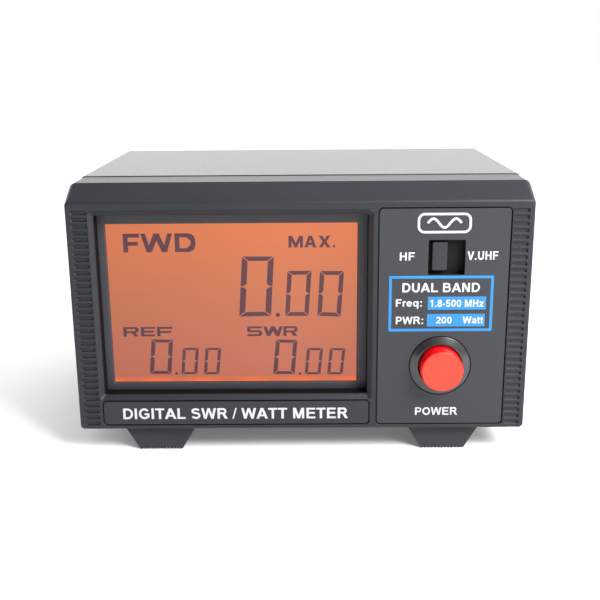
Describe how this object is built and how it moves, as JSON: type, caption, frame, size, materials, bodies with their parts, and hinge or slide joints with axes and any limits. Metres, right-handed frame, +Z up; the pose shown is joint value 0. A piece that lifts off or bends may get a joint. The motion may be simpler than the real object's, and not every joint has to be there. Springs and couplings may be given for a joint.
{
  "type": "digital swr and watt meter",
  "caption": "Desk-top SWR and watt meter: moulded bezel with a recessed lit display, slide band switch and push power button, steel cover, rubber feet, coax sockets behind.",
  "frame": {"origin": "centre of the object's box at the level its feet stand on", "axes": "+X to the right as seen from the front, +Y from the display to the sockets, +Z up"},
  "size_m": [0.158, 0.1334, 0.0954],
  "materials": {
    "bezel_abs": "moulded charcoal ABS with a fine grain",
    "fascia_film": "charcoal panel, screen printed in white and blue",
    "label_film": "charcoal strip, screen printed in white",
    "black_plastic": "moulded black plastic",
    "red_plastic": "polished red ABS",
    "spring_steel": "drawn spring wire",
    "switch_can_steel": "tinned steel can",
    "lcd_frame_plastic": "dark grey moulded frame",
    "lcd_glass": "liquid crystal cell lit orange from behind, dark segments",
    "light_guide_acrylic": "clear acrylic slab over a diffuser",
    "zebra_rubber": "layered conductive elastomer",
    "circuit_board": "green solder mask over glass epoxy",
    "chip_package": "black epoxy",
    "board_screw_steel": "zinc plated steel",
    "black_screw_steel": "black oxide steel",
    "chassis_steel": "folded steel, black satin powder coat",
    "cover_paint": "folded steel, charcoal satin enamel",
    "foot_rubber": "moulded dark grey rubber",
    "nickel_plate": "bright nickel plated brass",
    "ptfe": "white insulator",
    "gold_plate": "gold plated brass",
    "tinned_steel": "tin plate",
    "copper": "bare copper",
    "ferrite": "ferrite with a clear coat",
    "lead_jacket": "black PVC jacket"
  },
  "bodies": {
    "case": {"front_bezel": "bezel_abs", "fascia_panel": "fascia_film", "label_strip": "label_film", "button_collar": "black_plastic", "power_switch_body": "black_plastic", "dc_jack": "black_plastic", "power_switch_spring": "spring_steel", "band_switch_body": "switch_can_steel", "lcd_frame": "lcd_frame_plastic", "lcd_glass": "lcd_glass", "backlight_guide": "light_guide_acrylic", "zebra_strip_lower": "zebra_rubber", "zebra_strip_upper": "zebra_rubber", "main_board": "circuit_board", "hf_coupler_board": "circuit_board", "vuhf_coupler_board": "circuit_board", "microcontroller": "chip_package", "board_screw_left_lower": "board_screw_steel", "board_screw_left_upper": "board_screw_steel", "board_screw_right_lower": "board_screw_steel", "board_screw_right_upper": "board_screw_steel", "foot_screw_front_left": "black_screw_steel", "foot_screw_front_right": "black_screw_steel", "foot_screw_rear_left": "black_screw_steel", "foot_screw_rear_right": "black_screw_steel", "cover_screw_left_front": "black_screw_steel", "cover_screw_left_rear": "black_screw_steel", "cover_screw_right_front": "black_screw_steel", "cover_screw_right_rear": "black_screw_steel", "chassis_tray": "chassis_steel", "top_cover": "cover_paint", "foot_front_left": "foot_rubber", "foot_front_right": "foot_rubber", "foot_rear_left": "foot_rubber", "foot_rear_right": "foot_rubber", "hf_input_shell": "nickel_plate", "hf_output_shell": "nickel_plate", "vuhf_input_shell": "nickel_plate", "vuhf_output_shell": "nickel_plate", "dc_jack_pin": "nickel_plate", "hf_input_insulator": "ptfe", "hf_output_insulator": "ptfe", "vuhf_input_insulator": "ptfe", "vuhf_output_insulator": "ptfe", "hf_input_contact": "gold_plate", "hf_output_contact": "gold_plate", "vuhf_input_contact": "gold_plate", "vuhf_output_contact": "gold_plate", "hf_sensor_box": "tinned_steel", "vuhf_sensor_box": "tinned_steel", "hf_through_line": "copper", "vuhf_through_line": "copper", "hf_toroid": "ferrite", "hf_sensor_lead": "lead_jacket", "vuhf_sensor_lead": "lead_jacket", "power_lead": "lead_jacket"},
    "power_button": {"power_button_cap": "red_plastic", "power_switch_plunger": "black_plastic"},
    "band_switch": {"band_switch_knob": "black_plastic"}
  },
  "joints": [
    {"name": "power_button_push", "type": "slide", "parent": "case", "child": "power_button", "axis": [0, 1, 0], "range_m": [0, 0.0035], "stiffness_N_per_m": 500, "springref_m": -0.002, "deforming": ["power_switch_spring"]},
    {"name": "band_switch_slide", "type": "slide", "parent": "case", "child": "band_switch", "axis": [1, 0, 0], "range_m": [0, 0.0043]}
  ]
}
